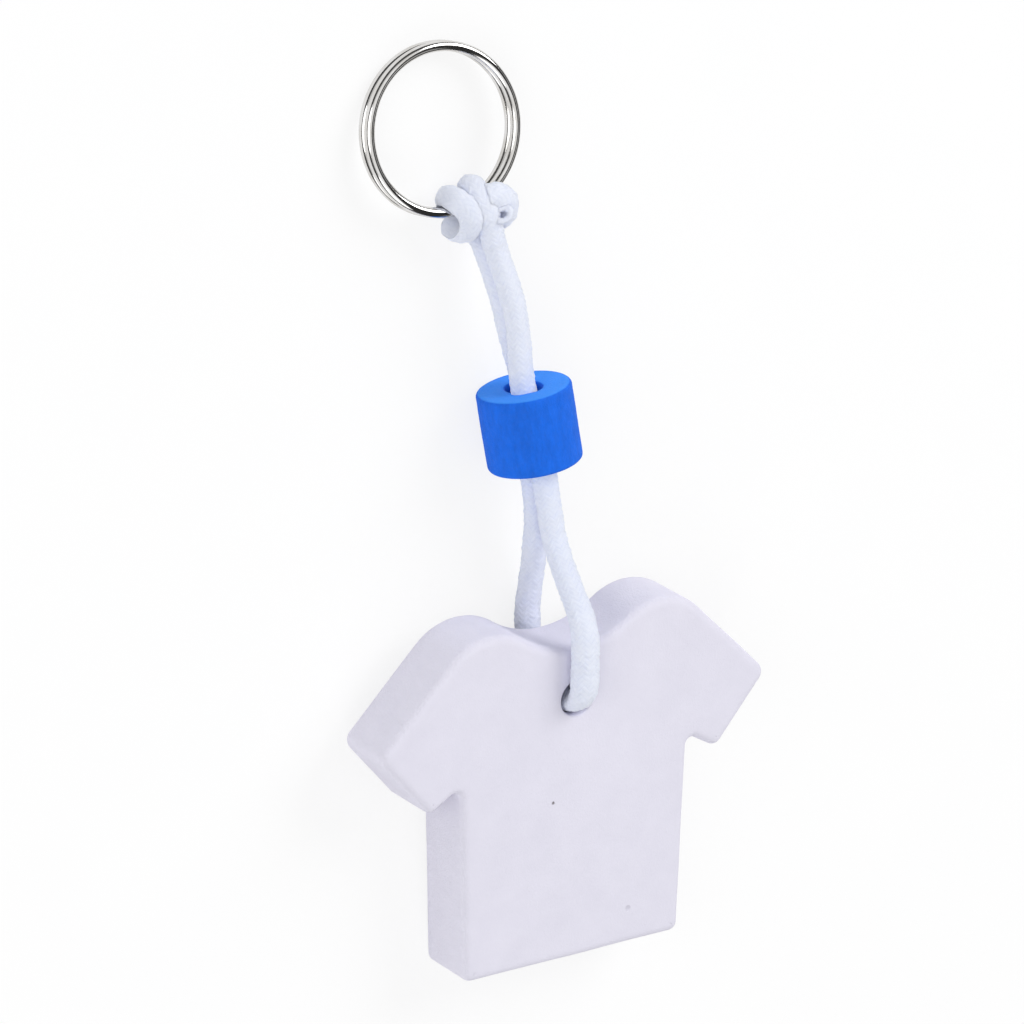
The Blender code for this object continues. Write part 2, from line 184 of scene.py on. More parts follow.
# The knot's strands in millimetres, in the ring's own directions: along the wire, towards the ring's
# centre, and up
KNOT_WRAP = [
    (-1.10, -6.60, 1.50), (-0.85, -5.00, 1.75), (-0.55, -3.30, 2.20), (-0.40, -1.10, 2.75),
    (-0.30, 1.20, 2.30), (0.20, 2.30, 0.90), (0.90, 1.70, -1.40), (0.90, 0.30, -2.60),
    (0.10, -2.60, -2.60), (-0.80, -4.90, -2.15), (-1.10, -6.60, -1.85),
]
KNOT_LEFT_LOBES = [
    (0.30, 0.00, -2.60), (-1.80, 0.40, -2.70), (-3.20, 1.70, -1.90), (-3.70, 2.60, -0.20),
    (-3.40, 1.90, 1.80), (-2.90, 0.20, 2.60), (-3.10, -1.70, 2.00), (-4.00, -2.80, 0.40),
    (-4.40, -2.40, -1.60), (-2.90, -2.30, -2.40), (-0.90, -2.70, -2.40),
]
KNOT_RIGHT_LOBE = [
    (0.40, 0.40, 2.70), (2.00, -0.30, 2.80), (3.10, -1.80, 2.30), (3.30, -3.20, 1.30),
    (2.70, -4.40, 0.00), (0.90, -4.40, -1.70),
]
KNOT_CUT_END = [(2.30, -4.00, -0.80), (1.80, -3.50, 1.60), (1.10, -2.64, 3.90)]
KNOT_CORE = [(-1.50, -3.00, -0.60), (-0.60, -3.00, -0.60), (1.20, -3.60, 0.20), (2.80, -3.60, 0.40)]
# The point of KNOT_WRAP under the wire, where the tube of braid starts and ends, and the point of
# CORD_ROUTE over the neck
WRAP_BACK = 7
OVER_NECK = 12
# The knot's other strands: points, direction across, size as a share of the knot's width and thickness,
# and whether the cut end is hollow
KNOT_STRANDS = (
    (KNOT_LEFT_LOBES, (0, 1, 0), 1.0, False),
    (KNOT_RIGHT_LOBE, (0, 1, 0), 1.05, False),
    (KNOT_CUT_END, (1, 0, 0), 0.85, True),
    (KNOT_CORE, (0, 1, 0), 1.0, False),
)
KNOT_WIDTH = 0.0038
KNOT_THICKNESS = 0.0030
KNOT_CLEARANCE = 0.0002

# Colours, as the photograph shows them, 0 to 255
FLOAT_COLOUR = (226, 224, 237)
BEAD_SIDE_COLOUR = (15, 104, 227)
BEAD_END_COLOUR = (58, 146, 252)
CORD_COLOUR = (234, 238, 255)
# Painted shade in the braid's creases, as shares of the cord's colour in red, green and blue
CREASE_SHADE_SHARES = (0.965, 0.968, 0.98)
NICKEL_COLOUR = (226, 225, 224)
WORN_NICKEL_COLOUR = (208, 205, 200)

# How much of the cells' relief shows on the flat ends, and how strongly the sides are streaked
FLOAT_END_RELIEF = 0.35
FLOAT_STREAKS = 0.01
BEAD_END_RELIEF = 0.9
BEAD_STREAKS = 0.12

# Tints that colours are multiplied by
DARKER_FOAM = (0.972, 0.972, 0.975, 1.0)
LIGHTER_FOAM = (1.012, 1.012, 1.01, 1.0)
# Painted shade in the pits of the foam's cells
FOAM_PIT_SHADE = (0.86, 0.86, 0.88, 1.0)
GREYER_BRAID = (0.965, 0.972, 0.99, 1.0)
BRAID_SHEEN = (0.88, 0.92, 1.0, 1.0)

# Scales of the surfaces' patterns, per metre
FOAM_CELLS = 3400.0
FOAM_FINE_CELLS = 7800.0
FOAM_GRAIN = 1500.0
FOAM_MOTTLE = 260.0
FOAM_BLOTCHES = 70.0
FOAM_STREAKS = 1000.0
BRAID_WANDER = 2600.0
BRAID_FUZZ = 6500.0
BRAID_TONE = 900.0
NICKEL_WEAR = 300.0
NICKEL_SCRATCHES = 4200.0
TABLE_GRAIN = 60.0

# Studio
FLOOR_HALF_SIZE = 3.0
FLOOR_COLOURS = ((0.93, 0.93, 0.94, 1), (0.95, 0.95, 0.95, 1))
FLOOR_WHITE_SHARE = 0.8
FLOOR_WHITE_FROM = 0.3
FLOOR_WHITE_TO = 0.9
WORLD_LEVEL = 0.52
DARK_BAND_DIRECTION = (0.916, -0.390, 0.095)
DARK_BAND_COSINE = 0.516
DARK_BAND_WITHIN = 0.13
DARK_BAND_FADED = 0.24
DARK_BAND_LEVEL = 0.03
OVERHEAD_FROM = 0.45
OVERHEAD_TO = 0.9
LOW_LEVEL = 0.06
# Lamps: place, size and power. Each is turned to the origin
LAMPS = {
    "left_lamp": ((-1.0, 0.2, 0.75), 0.9, 3.8),
    "far_lamp": ((0.75, 0.7, 0.75), 0.9, 8.8),
    "near_lamp": ((-0.45, -0.9, 0.75), 0.9, 3.0),
}


def linear(colour):
    """A colour of 0 to 255 as linear light, with full cover."""
    shares = [channel / 255 for channel in colour]
    return (*[s / 12.92 if s <= 0.04045 else ((s + 0.055) / 1.055) ** 2.4 for s in shares], 1.0)


def unit(vectors):
    """The same directions, each one long."""
    return vectors / np.linalg.norm(vectors, axis=-1, keepdims=True)


def axes_matrix(place, x, y, z):
    """The matrix that stands at a place with the given unit directions."""
    return Matrix.Translation(place) @ Matrix((x, y, z)).transposed().to_4x4()


# Places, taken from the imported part
joints = {joint["name"]: joint for joint in frame["joints"]}
mounts = {mount["name"]: mount for mount in frame["record"]["mounts"]}
float_face = Vector(joints["cord_swing"]["axis"]).normalized()
hole_centre = Vector(joints["cord_swing"]["pos_m"])
float_up = float_face.cross(Vector((1, 0, 0)))
FLOAT_MATRIX = axes_matrix(hole_centre, Vector((1, 0, 0)), float_up, float_face)
FLOAT_MATRIX = FLOAT_MATRIX @ Matrix.Translation((0, -HOLE_HEIGHT, -FLOAT_THICKNESS / 2))
wire_along = Vector(joints["ring_swing"]["axis"]).normalized()
ring_face = Vector(mounts["key_ring"]["axis"]).normalized()
to_ring_centre = ring_face.cross(wire_along)
RING_MATRIX = axes_matrix(joints["ring_swing"]["pos_m"], wire_along, to_ring_centre, ring_face)
bead_low, bead_high = (Vector(corner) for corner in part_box("foam_bead"))
bead_turn = Matrix.Rotation(BEAD_LEAN, 3, "Z") @ Matrix.Rotation(-math.pi / 2 - BEAD_TILT, 3, "X")
BEAD_MATRIX = Matrix.Translation((bead_low + bead_high) / 2) @ bead_turn.to_4x4()


# Meshes

def mesh_piece(name, vertices, faces, material, matrix=None, uvs=None):
    """A smooth-shaded piece. uvs are one pair for each corner of each face."""
    mesh = bpy.data.meshes.new(name)
    mesh.from_pydata([tuple(v) for v in vertices], [], [tuple(f) for f in faces])
    if uvs is not None:
        layer = mesh.uv_layers.new(name="braid")
        layer.data.foreach_set("uv", np.asarray(uvs, np.float32).ravel())
    if matrix is not None:
        mesh.transform(matrix)
    mesh.shade_smooth()
    mesh.materials.append(material)
    piece = bpy.data.objects.new(name, mesh)
    bpy.context.scene.collection.objects.link(piece)
    return piece


def shown_as(piece, body, node):
    """The piece moves with a body and shows a node of the part. It is pressed flat where it would dip below
    the table."""
    for vertex in piece.data.vertices:
        vertex.co.z = max(vertex.co.z, 0.0)
    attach(piece, body)
    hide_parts(node)


def grid_faces(rings, sides, offset=0, closed=False):
    """The quads between rings of vertices, each ring a closed loop of sides. closed joins the last ring to
    the first."""
    ring = np.arange(rings if closed else rings - 1)[:, None]
    side = np.arange(sides)[None, :]
    after_ring, after_side = (ring + 1) % rings, (side + 1) % sides
    corners = (
        ring * sides + side,
        ring * sides + after_side,
        after_ring * sides + after_side,
        after_ring * sides + side,
    )
    return np.stack(np.broadcast_arrays(*corners), axis=-1).reshape(-1, 4) + offset


def uneven(points, size, depth, seed):
    """A soft noise of about the given size, from -depth to depth, at each point."""
    shift = Vector((seed * 7.3, seed * 3.1, seed * 5.7))
    return np.array([depth * noise.noise(Vector(p) / size + shift) for p in points])


# Float

def corner_arc(before, corner, after, radius):
    """The arc that rounds a corner between two straight sides."""
    to_before, to_after = unit(before - corner), unit(after - corner)
    half_angle = math.acos(float(to_before @ to_after)) / 2
    centre = corner + unit(to_before + to_after) * radius / math.sin(half_angle)
    start = corner + to_before * radius / math.tan(half_angle) - centre
    end = corner + to_after * radius / math.tan(half_angle) - centre
    first, last = math.atan2(*start[::-1]), math.atan2(*end[::-1])
    sweep = (last - first + math.pi) % (2 * math.pi) - math.pi
    return arc(centre, radius, first, first + sweep, CORNER_STEPS)


def arc(centre, radius, first, last, steps):
    """Points round a centre, from a first bearing to a last one."""
    bearings = np.linspace(first, last, steps + 1)
    return centre + radius * np.stack([np.cos(bearings), np.sin(bearings)], axis=-1)


def float_outline():
    """The shirt's outline, anticlockwise from the middle of its hem, in even steps."""
    hem = np.array((HEM_HALF_WIDTH, 0))
    armpit = np.array((CHEST_HALF_WIDTH, ARMPIT_HEIGHT))
    cuff_low = np.array((CUFF_LOW_HALF_WIDTH, CUFF_LOW_HEIGHT))
    cuff_tip = np.array((CUFF_TIP_HALF_WIDTH, CUFF_TIP_HEIGHT))
    neck = np.array((0, NECK_LOW_HEIGHT + NECK_RADIUS))
    up_slope = np.array((-math.cos(SLEEVE_SLOPE), math.sin(SLEEVE_SLOPE)))
    outward = np.array((math.sin(SLEEVE_SLOPE), math.cos(SLEEVE_SLOPE)))
    start = cuff_tip - SHOULDER_RADIUS * outward - neck
    reach = SHOULDER_RADIUS + NECK_RADIUS
    along = -start @ up_slope - math.sqrt((start @ up_slope) ** 2 - start @ start + reach ** 2)
    shoulder = neck + start + up_slope * along
    neck_bearing = math.atan2(*(neck - shoulder)[::-1])
    slope_start = shoulder + SHOULDER_RADIUS * outward
    right = np.concatenate([
        [(0, 0)],
        corner_arc(np.zeros(2), hem, armpit, HEM_CORNER_RADIUS),
        corner_arc(hem, armpit, cuff_low, ARMPIT_RADIUS),
        corner_arc(armpit, cuff_low, cuff_tip, CUFF_LOW_RADIUS),
        corner_arc(cuff_low, cuff_tip, slope_start, CUFF_TIP_RADIUS),
        arc(shoulder, SHOULDER_RADIUS, math.pi / 2 - SLEEVE_SLOPE, neck_bearing, CURVE_STEPS),
        arc(neck, NECK_RADIUS, neck_bearing - math.pi, -math.pi / 2, CURVE_STEPS)[1:],
    ])
    outline = np.concatenate([right, right[-2:0:-1] * (-1, 1)])
    return evenly_closed(outline, OUTLINE_STEP)


def evenly_closed(outline, step):
    """A closed outline with extra points on its long stretches, no further than a step apart."""
    points = []
    for here, after in zip(outline, np.roll(outline, -1, axis=0)):
        pieces = max(1, round(float(np.linalg.norm(after - here)) / step))
        points += [here + (after - here) * part / pieces for part in range(pieces)]
    return np.array(points)


def outline_normals(outline):
    """The outward direction at each point of an anticlockwise outline."""
    along = unit(np.roll(outline, -1, axis=0) - np.roll(outline, 1, axis=0))
    return np.stack([along[:, 1], -along[:, 0]], axis=-1)


def make_float(material):
    """A thick foam shirt with softly rounded edges and a punched hole, its cut sides a little uneven."""
    outline = float_outline()
    outward = outline_normals(outline)
    wobble = uneven([(*p, 0) for p in outline], SIDE_WOBBLE_SIZE, SIDE_WOBBLE, 1)[:, None]
    edge = FLOAT_EDGE_RADIUS
    angles = np.linspace(0, math.pi / 2, EDGE_RINGS)
    lower = [(edge * (1 - math.sin(angle)), edge * (1 - math.cos(angle))) for angle in angles]
    middle = [(0, height) for height in np.linspace(edge, FLOAT_THICKNESS - edge, SIDE_RINGS)[1:-1]]
    upper = [(inset, FLOAT_THICKNESS - height) for inset, height in reversed(lower)]
    flat_inset = edge * FLAT_INSET_SHARE
    profile = [(flat_inset, 0), *lower, *middle, *upper, (flat_inset, FLOAT_THICKNESS)]
    sides = len(outline)
    rings = []
    for inset, height in profile:
        rings.append(np.column_stack([outline - outward * (inset - wobble), np.full(sides, height)]))
    vertices = np.concatenate(rings)
    faces = list(grid_faces(len(rings), sides))

    bearings = np.linspace(0, 2 * math.pi, HOLE_SIDES, endpoint=False)
    rim = np.stack([np.cos(bearings), np.sin(bearings)], axis=-1)
    wall_heights = np.linspace(HOLE_WALL_DEPTH, FLOAT_THICKNESS - HOLE_WALL_DEPTH, HOLE_WALL_RINGS)
    hole_profile = [
        *HOLE_LIP,
        *[(HOLE_WALL_SHARE, height) for height in wall_heights],
        *[(share, FLOAT_THICKNESS - depth) for share, depth in reversed(HOLE_LIP)],
    ]
    hole_start = len(vertices)
    hole_rings = []
    for share, height in hole_profile:
        level = HOLE_RADIUS * share * rim + (0, HOLE_HEIGHT)
        roughness = uneven([(*p, height) for p in level], HOLE_ROUGHNESS_SIZE, HOLE_ROUGHNESS, 2)[:, None]
        roughness *= min(height, FLOAT_THICKNESS - height) > HOLE_SMOOTH_RIM
        hole_rings.append(np.column_stack([level + rim * roughness, np.full(len(rim), height)]))
    vertices = np.concatenate([vertices, *hole_rings])
    faces += [face[::-1] for face in grid_faces(len(hole_rings), len(rim), hole_start)]

    piece = mesh_piece("white_foam_float", vertices, faces, material)
    back = [range(0, sides), range(hole_start, hole_start + len(rim))]
    fill_flat(piece.data, back, (0, 0, -1))
    last_ring = (len(rings) - 1) * sides
    last_hole = hole_start + (len(hole_rings) - 1) * len(rim)
    front = [range(last_ring, last_ring + sides), range(last_hole, last_hole + len(rim))]
    fill_flat(piece.data, front, (0, 0, 1))
    piece.data.transform(FLOAT_MATRIX)
    shown_as(piece, "float", "foam_float")


def fill_flat(mesh, loops, facing):
    """Closes the flat region between closed loops of vertices with triangles that face one way."""
    bm = bmesh.new()
    bm.from_mesh(mesh)
    bm.verts.ensure_lookup_table()
    edges = []
    for loop in loops:
        loop = list(loop)
        for here, after in zip(loop, loop[1:] + loop[:1]):
            edges.append(bm.edges.get((bm.verts[here], bm.verts[after])))
    made = bmesh.ops.triangle_fill(bm, use_beauty=True, use_dissolve=False, edges=edges)
    made_faces = [item for item in made["geom"] if isinstance(item, bmesh.types.BMFace)]
    for face in made_faces:
        face.smooth = True
        face.normal_update()
        if face.normal.dot(Vector(facing)) < 0:
            face.normal_flip()
    bm.to_mesh(mesh)
    bm.free()


# Bead

def make_bead(material):
    """A short length of foam rod. Its bore is drawn oval by the two strands, and its cut ends are sunk a
    little, most at the bore."""
    bearings = np.linspace(0, 2 * math.pi, BEAD_SIDES, endpoint=False)
    round_rim = np.stack([np.cos(bearings), np.sin(bearings)], axis=-1)
    turned = bearings - BORE_TURN
    oval = BORE_HALF_WIDTH * BORE_HALF_HEIGHT / np.hypot(
        BORE_HALF_HEIGHT * np.cos(turned), BORE_HALF_WIDTH * np.sin(turned),
    )
    half = BEAD_LENGTH / 2
    edge = BEAD_EDGE_RADIUS
    angles = np.linspace(0, math.pi / 2, BEAD_EDGE_RINGS)
    rings = []

    def add_ring(radii, height):
        """One ring of vertices, with one radius for all of it or one for each vertex."""
        rings.append(np.column_stack([round_rim * np.reshape(radii, (-1, 1)), np.full(BEAD_SIDES, height)]))

    for sign in (-1, 1):
        end_rings = []
        for share, dip in BEAD_END:
            end_rings.append((oval + (BEAD_RADIUS - edge - oval) * share, sign * (half - dip)))
        for angle in angles:
            radius = BEAD_RADIUS - edge + edge * math.sin(angle)
            end_rings.append((radius, sign * (half - edge + edge * math.cos(angle))))
        if sign > 0:
            for height in np.linspace(-half + edge, half - edge, BEAD_SIDE_RINGS)[1:-1]:
                add_ring(BEAD_RADIUS, height)
            end_rings.reverse()
        for radii, height in end_rings:
            add_ring(radii, height)
    for height in np.linspace(half - BORE_LIP, -half + BORE_LIP, BORE_RINGS)[1:-1]:
        add_ring(oval, height)
    vertices = np.concatenate(rings)
    lumps = uneven(vertices, BEAD_LUMP_SIZE, BEAD_LUMPS, 3)
    lumps += uneven(vertices, BEAD_GRAIN_SIZE, BEAD_GRAIN, 4)
    vertices[:, :2] *= 1 + (lumps / np.linalg.norm(vertices[:, :2], axis=1))[:, None]
    faces = grid_faces(len(rings), BEAD_SIDES, closed=True)
    piece = mesh_piece("blue_foam_bead", vertices, faces, material, BEAD_MATRIX)
    shown_as(piece, "bead", "foam_bead")


# Split ring

def make_ring(material):
    """Two close turns of round wire. Between its ends the wire steps across from one turn to the other."""
    first = RING_JOG_HALF_ANGLE
    last = 4 * math.pi - RING_JOG_HALF_ANGLE
    travelled = np.linspace(first, last, RING_STEPS)
    into_jog = travelled - 2 * math.pi + RING_JOG_HALF_ANGLE
    crossed = np.clip(into_jog / (2 * RING_JOG_HALF_ANGLE), 0, 1)
    height = RING_PITCH * (crossed * crossed * (3 - 2 * crossed) - 0.5)
    bearing = travelled + RING_JOG_BEARING
    across = np.stack([np.cos(bearing), np.sin(bearing), np.zeros_like(bearing)], axis=-1)
    centres = across * RING_MEAN_RADIUS + (0, RING_MEAN_RADIUS, 0)
    centres[:, 2] = height
    turns = np.linspace(0, 2 * math.pi, RING_WIRE_SIDES, endpoint=False)[None, :, None]
    tangents = unit(np.gradient(centres, axis=0))
    outward = unit(across - tangents * np.sum(across * tangents, axis=-1, keepdims=True))
    upward = np.cross(tangents, outward)
    section = outward[:, None] * np.cos(turns) + upward[:, None] * np.sin(turns)
    rings = list(centres[:, None] + section * RING_WIRE_RADIUS)

    def rounded_end(index, direction):
        """The rings that round off the wire's cut end."""
        made = []
        for angle in WIRE_END_ANGLES:
            bulge = RING_WIRE_RADIUS * WIRE_END_BULGE * math.sin(angle)
            share = WIRE_END_SHARE + (1 - WIRE_END_SHARE) * math.cos(angle)
            place = centres[index] + tangents[index] * direction * bulge
            made.append(place + section[index] * RING_WIRE_RADIUS * share)
        middle = np.mean(made[-1], axis=0)
        made.append(made[-1] * WIRE_END_CLOSED + middle * (1 - WIRE_END_CLOSED))
        return made

    rings = rounded_end(0, -1)[::-1] + rings + rounded_end(-1, 1)
    vertices = np.concatenate(rings)
    faces = [list(face) for face in grid_faces(len(rings), RING_WIRE_SIDES)]
    faces.append(list(range(RING_WIRE_SIDES))[::-1])
    faces.append(list(range(len(vertices) - RING_WIRE_SIDES, len(vertices))))
    piece = mesh_piece("nickel_split_ring", vertices, faces, material, RING_MATRIX)
    shown_as(piece, "ring", "split_ring")


# Braided cord

def smooth_route(points, step):
    """Points a step apart along a smooth curve through the given ones, a centripetal Catmull-Rom spline,
    and how far along it each of them lies."""
    points = np.asarray(points, float)
    padded = np.concatenate([[2 * points[0] - points[1]], points, [2 * points[-1] - points[-2]]])
    fine = []
    for p0, p1, p2, p3 in zip(padded, padded[1:], padded[2:], padded[3:]):
        t1 = math.sqrt(np.linalg.norm(p1 - p0))
        t2 = t1 + math.sqrt(np.linalg.norm(p2 - p1))
        t3 = t2 + math.sqrt(np.linalg.norm(p3 - p2))
        t = np.linspace(t1, t2, ROUTE_SUBSTEPS, endpoint=False)[:, None]
        a1 = p0 + (p1 - p0) * t / t1
        a2 = p1 + (p2 - p1) * (t - t1) / (t2 - t1)
        a3 = p2 + (p3 - p2) * (t - t2) / (t3 - t2)
        b1 = a1 + (a2 - a1) * t / t2
        b2 = a2 + (a3 - a2) * (t - t1) / (t3 - t1)
        fine.append(b1 + (b2 - b1) * (t - t1) / (t2 - t1))
    fine = np.concatenate([*fine, points[-1:]])
    travelled = np.concatenate([[0], np.cumsum(np.linalg.norm(np.diff(fine, axis=0), axis=1))])
    places = np.linspace(0, travelled[-1], round(travelled[-1] / step) + 1)
    return np.column_stack([np.interp(places, travelled, fine[:, axis]) for axis in range(3)]), places


def carried_along(route, across, start=0):
    """The directions along and across the cord at each point of its route. The one across is carried both
    ways from a start with little twist."""
    tangents = unit(np.gradient(route, axis=0))
    directions = np.empty_like(route)
    for indices in (range(start, len(route)), range(start, -1, -1)):
        carried = np.asarray(across, float)
        for index in indices:
            carried = unit(carried - tangents[index] * (carried @ tangents[index]))
            directions[index] = carried
    return tangents, directions


def braid_height(a, b):
    """How far the yarns stand out where two families of them cross, two over and two under: 0 in creases,
    1 on crowns. a and b count the yarns of each family that have been passed."""
    turn = np.mod(np.floor(a) - np.floor(b), 4)
    on_top = turn < 2
    across = np.where(on_top, np.mod(a, 1), np.mod(b, 1)) - 0.5
    run = np.where(on_top, (1 - turn + np.mod(b, 1)) / 2, (turn - 2 + np.mod(a, 1)) / 2) - 0.5
    swell = YARN_END_SHARE + (1 - YARN_END_SHARE) * np.cos(math.pi * run) ** 2
    return np.cos(math.pi * across) ** 2 * swell


def braided_tube(route, places, across, widths, thicknesses, start=0):
    """The vertices of a flat tube of braid along a route, ring by ring, and the corner coordinates of its
    faces."""
    tangents, wide = carried_along(route, across, start)
    thick = np.cross(tangents, wide)
    rings, sides = len(route), CORD_SIDES
    share = np.arange(sides) / sides
    cosine = np.cos(2 * math.pi * share)
    sine = np.sin(2 * math.pi * share)
    half_wide = np.asarray(widths)[:, None] / 2
    half_thick = np.asarray(thicknesses)[:, None] / 2
    along = places[:, None] / BRAID_PITCH
    around = share[None, :] * BRAID_YARNS
    height = braid_height(along + around, along - around)
    slack = np.array([noise.noise(Vector((place / SLACK_SIZE, 0.3, 0.7))) for place in places])[:, None]
    outwards = wide[:, None] * cosine[:, None] + thick[:, None] * sine[:, None]
    bulk = route[:, None] + outwards * CORD_THICKNESS / 2
    loose = uneven(bulk.reshape(-1, 3), LOOSENESS_SIZE, 1.0, 5).reshape(rings, sides)
    outward = (height - 0.5) * BRAID_DEPTH * (1 + loose) + slack * SLACK_DEPTH + loose * LOOSENESS_DEPTH
    normal_wide, normal_thick = cosine / half_wide, sine / half_thick
    scale = outward / np.hypot(normal_wide, normal_thick)
    local_wide = half_wide * cosine + normal_wide * scale
    local_thick = half_thick * sine + normal_thick * scale
    across_section = wide[:, None] * local_wide[..., None] + thick[:, None] * local_thick[..., None]
    vertices = route[:, None] + across_section
    ring, side = np.divmod(np.arange((rings - 1) * sides), sides)
    corner_side = np.stack([side, side + 1, side + 1, side], axis=-1) / sides * BRAID_YARNS
    corner_ring = np.stack([ring, ring, ring + 1, ring + 1], axis=-1)
    corner_along = (corner_ring * (places[1] - places[0]) + places[0]) / BRAID_PITCH
    uvs = np.stack([corner_along, corner_side], axis=-1).reshape(-1, 2)
    return vertices.reshape(-1, 3), uvs


def capped(vertices, uvs, hollow):
    """A tube with its two ends closed. Each is drawn in to a small disc, the last one sunk inwards if it is
    hollow."""
    rings = vertices.reshape(-1, CORD_SIDES, 3)
    before = drawn_in(rings[0], rings[1], ROUNDED_END)[::-1]
    after = drawn_in(rings[-1], rings[-2], SUNKEN_END if hollow else ROUNDED_END)
    rings = np.concatenate([before, rings, after])
    last_ring = (len(rings) - 1) * CORD_SIDES
    first_cap = list(range(CORD_SIDES))[::-1]
    last_cap = list(range(last_ring, last_ring + CORD_SIDES))
    corners = uvs.reshape(-1, CORD_SIDES, 4, 2)
    corners_before = np.repeat(corners[:1], len(before), 0)
    corners_after = np.repeat(corners[-1:], len(after), 0)
    corners = np.concatenate([corners_before, corners, corners_after])
    uvs = np.concatenate([corners.reshape(-1, 2), np.zeros((2 * CORD_SIDES, 2))])
    faces = [*grid_faces(len(rings), CORD_SIDES).tolist(), first_cap, last_cap]
    return rings.reshape(-1, 3), faces, uvs


def drawn_in(end, inner, steps):
    """Rings that draw a tube's end in. Each step is a share of its size, and how far out of the tube."""
    centre = end.mean(axis=0)
    outward = unit(centre - inner.mean(axis=0))
    return np.array([centre + (end - centre) * share + outward * lift for share, lift in steps])


def make_cord(material):
    """The whole cord, as the loop and the knot: one tube of braid from under the ring's wire, over it,
    round the loop and back under the wire, and the other strands of the knot."""
    wrap = [RING_MATRIX @ (Vector(point) / 1000) for point in KNOT_WRAP]
    loop_points = [Vector(point) / 1000 for point in CORD_ROUTE]
    points = [*wrap[WRAP_BACK::-1], *loop_points, *wrap[:WRAP_BACK - 1:-1]]
    route, places = smooth_route(points, CORD_STEP)
    first, last = nearest(route, wrap[0]), nearest(route, wrap[-1])
    shares = (places - places[first]) / (places[last] - places[first])
    sections = np.array(CORD_SECTIONS)
    widths = np.interp(shares, sections[:, 0], sections[:, 1]) / 1000
    thicknesses = np.interp(shares, sections[:, 0], sections[:, 2]) / 1000
    over_neck = nearest(route, loop_points[OVER_NECK])
    vertices, uvs = braided_tube(route, places, (1, 0, 0), widths, thicknesses, over_neck)
    loop_vertices, loop_faces, loop_uvs = stretch(vertices, uvs, first, last)
    loop = mesh_piece("braided_cord_loop", loop_vertices, loop_faces, material, uvs=loop_uvs)
    shown_as(loop, "cord", "cord_loop")

    to_knot = np.array(RING_MATRIX.inverted())
    vertices = vertices @ to_knot[:3, :3].T + to_knot[:3, 3]
    strands = [stretch(vertices, uvs, 0, first), stretch(vertices, uvs, last, len(route) - 1)]
    for points, across, size, hollow in KNOT_STRANDS:
        strand_route, strand_places = smooth_route(np.array(points) / 1000, CORD_STEP)
        widths = np.full(len(strand_route), KNOT_WIDTH * size)
        thicknesses = np.full(len(strand_route), KNOT_THICKNESS * size)
        tube = braided_tube(strand_route, strand_places, across, widths, thicknesses)
        strands.append(capped(*tube, hollow))
    knot = knot_piece(strands, material)
    loop_route = route[first:last + 1]
    return loop, knot, loop_route, route_length(loop_route)


def nearest(route, place):
    """The index of the route's point nearest to a place."""
    return int(np.argmin(np.linalg.norm(route - place, axis=1)))


def route_length(route):
    """How long a route is, point by point."""
    return float(np.linalg.norm(np.diff(route, axis=0), axis=1).sum())


def stretch(vertices, uvs, begin, end):
    """The part of a tube between two of its rings, open at both ends, where the next part goes on."""
    rings = vertices.reshape(-1, CORD_SIDES, 3)[begin:end + 1]
    corners = uvs.reshape(-1, CORD_SIDES, 4, 2)[begin:end]
    return rings.reshape(-1, 3).copy(), grid_faces(len(rings), CORD_SIDES).tolist(), corners.reshape(-1, 2)


def knot_piece(strands, material):
    """The knot's strands as one piece, each pressed clear of the room that the ring swings in."""
    all_vertices, all_faces, all_uvs = [], [], []
    count = 0
    for vertices, faces, uvs in strands:
        from_wire = np.hypot(vertices[:, 1], vertices[:, 2])
        room = ring_passage(vertices[:, 0])
        vertices[:, 1:] *= (np.maximum(from_wire, room) / from_wire)[:, None]
        all_vertices.append(vertices)
        all_faces += [[index + count for index in face] for face in faces]
        all_uvs += [tuple(uv) for uv in uvs]
        count += len(vertices)
    to_table = np.array(RING_MATRIX)
    vertices = np.concatenate(all_vertices) @ to_table[:3, :3].T + to_table[:3, 3]
    knot = mesh_piece("cord_knot_strands", vertices, all_faces, material, uvs=all_uvs)
    shown_as(knot, "cord", "cord_knot")
    return knot


def ring_passage(along):
    """The radius of the room that the ring needs in the knot as it swings, at a distance along the wire."""
    bow = RING_MEAN_RADIUS - np.sqrt(RING_MEAN_RADIUS ** 2 - np.square(along))
    return np.hypot(bow, RING_PITCH / 2) + RING_WIRE_RADIUS + KNOT_CLEARANCE


# Materials

